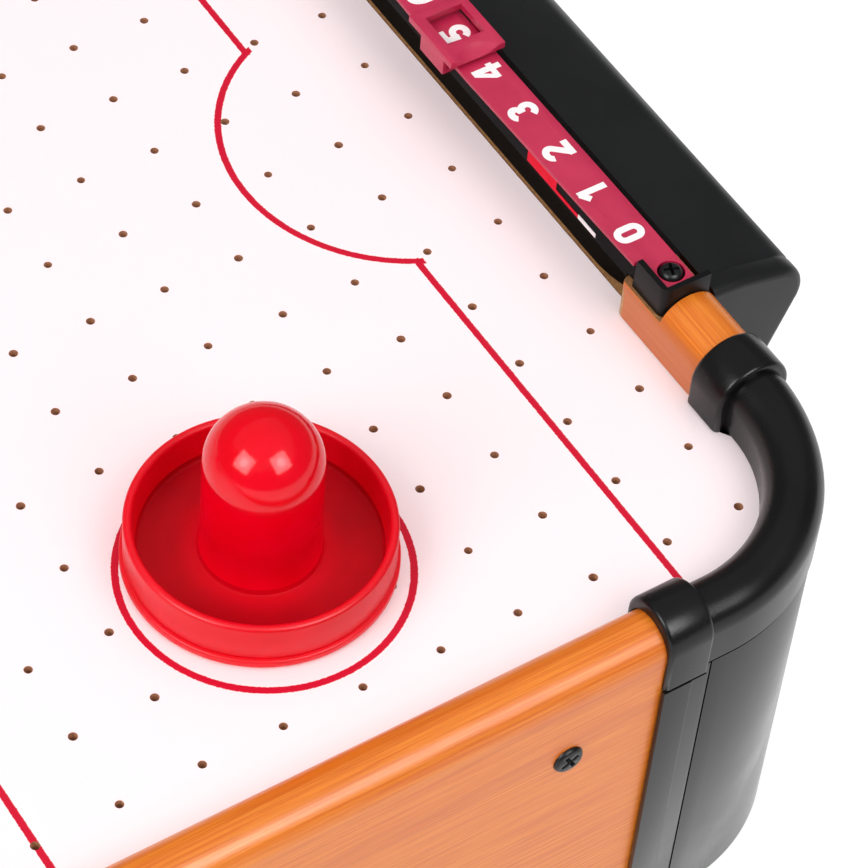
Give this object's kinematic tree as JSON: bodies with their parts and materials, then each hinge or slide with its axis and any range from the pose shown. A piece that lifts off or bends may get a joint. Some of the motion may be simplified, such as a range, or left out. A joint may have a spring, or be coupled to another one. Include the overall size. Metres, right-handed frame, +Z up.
{
  "type": "tabletop air hockey table",
  "caption": "Tabletop air hockey table: wood rails, black corners and legs, goals with sliding score counters, fan-blown playing board, mallets and puck.",
  "frame": {"origin": "bottom centre of the whole object, on the surface that its feet stand on", "axes": "+X along the table from goal to goal, +Y across it to the far side rail, +Z up"},
  "size_m": [0.51, 0.3092, 0.1321],
  "materials": {
    "field_laminate": "satin white laminate with red lines on a thin board",
    "rail_wood": "orange wood-grain finish",
    "plain_board": "raw board",
    "corner_plastic": "satin black",
    "goal_plastic": "fine matt black",
    "score_plastic": "satin crimson",
    "mallet_plastic": "glossy red",
    "mallet_felt": "felt",
    "fan_plastic": "matt black",
    "motor_steel": "plain",
    "cell_steel": "plain sleeve",
    "screw_steel": "blackened",
    "foot_rubber": "matt"
  },
  "bodies": {
    "table": {"playfield_board": "field_laminate", "base_board": "plain_board", "side_rail_front": "rail_wood", "side_rail_back": "rail_wood", "end_rail_right": "rail_wood", "end_rail_left": "rail_wood", "corner_cap_front_right": "corner_plastic", "corner_leg_front_right": "corner_plastic", "foot_pad_front_right": "foot_rubber", "corner_cap_back_right": "corner_plastic", "corner_leg_back_right": "corner_plastic", "foot_pad_back_right": "foot_rubber", "corner_cap_back_left": "corner_plastic", "corner_leg_back_left": "corner_plastic", "foot_pad_back_left": "foot_rubber", "corner_cap_front_left": "corner_plastic", "corner_leg_front_left": "corner_plastic", "foot_pad_front_left": "foot_rubber", "rail_screw_front_right": "screw_steel", "rail_screw_front_left": "screw_steel", "rail_screw_back_right": "screw_steel", "rail_screw_back_left": "screw_steel", "goal_box_right": "goal_plastic", "score_bracket_right": "goal_plastic", "score_strip_right": "score_plastic", "strip_screw_right_1": "screw_steel", "strip_screw_right_2": "screw_steel", "batten_right": "plain_board", "goal_box_left": "goal_plastic", "score_bracket_left": "goal_plastic", "score_strip_left": "score_plastic", "strip_screw_left_1": "screw_steel", "strip_screw_left_2": "screw_steel", "batten_left": "plain_board", "fan_housing": "fan_plastic", "fan_grille": "fan_plastic", "battery_box": "fan_plastic", "switch_bezel": "fan_plastic", "fan_motor": "motor_steel", "battery_1": "cell_steel", "battery_2": "cell_steel", "battery_3": "cell_steel", "battery_4": "cell_steel"},
    "slider_right": {"score_slider_right": "score_plastic"},
    "slider_left": {"score_slider_left": "score_plastic"},
    "fan_wheel": {"fan_impeller": "fan_plastic"},
    "power_rocker": {"switch_rocker": "fan_plastic"},
    "battery_lid": {"battery_door": "fan_plastic"},
    "mallet_right": {"mallet_right_body": "mallet_plastic", "mallet_right_felt": "mallet_felt"},
    "mallet_left": {"mallet_left_body": "mallet_plastic", "mallet_left_felt": "mallet_felt"},
    "loose_puck": {"puck": "mallet_plastic"}
  },
  "joints": [
    {"name": "slider_right_slide", "type": "slide", "parent": "table", "child": "slider_right", "axis": [0, 1, 0], "range_m": [-0.0675, 0.0675]},
    {"name": "slider_left_slide", "type": "slide", "parent": "table", "child": "slider_left", "axis": [0, -1, 0], "range_m": [-0.0675, 0.0675]},
    {"name": "fan_spin", "type": "hinge", "parent": "table", "child": "fan_wheel", "pos_m": [0, 0, 0.0267], "axis": [0, 0, 1], "continuous": true},
    {"name": "power_rock", "type": "hinge", "parent": "table", "child": "power_rocker", "pos_m": [-0.095, 0.15, 0.0337], "axis": [0, 0, 1], "range_deg": [0, 16]},
    {"name": "battery_lid_slide", "type": "slide", "parent": "table", "child": "battery_lid", "axis": [-1, 0, 0], "range_m": [0, 0.05]},
    {"name": "mallet_right_glide", "type": "slide", "parent": "table", "child": "mallet_right", "axis": [1, 0, 0], "range_m": [-0.086, 0.066]},
    {"name": "mallet_left_glide", "type": "slide", "parent": "table", "child": "mallet_left", "axis": [-1, 0, 0], "range_m": [-0.086, 0.066]},
    {"name": "puck_glide", "type": "slide", "parent": "table", "child": "loose_puck", "axis": [1, 0, 0], "range_m": [-0.125, 0.245]}
  ]
}
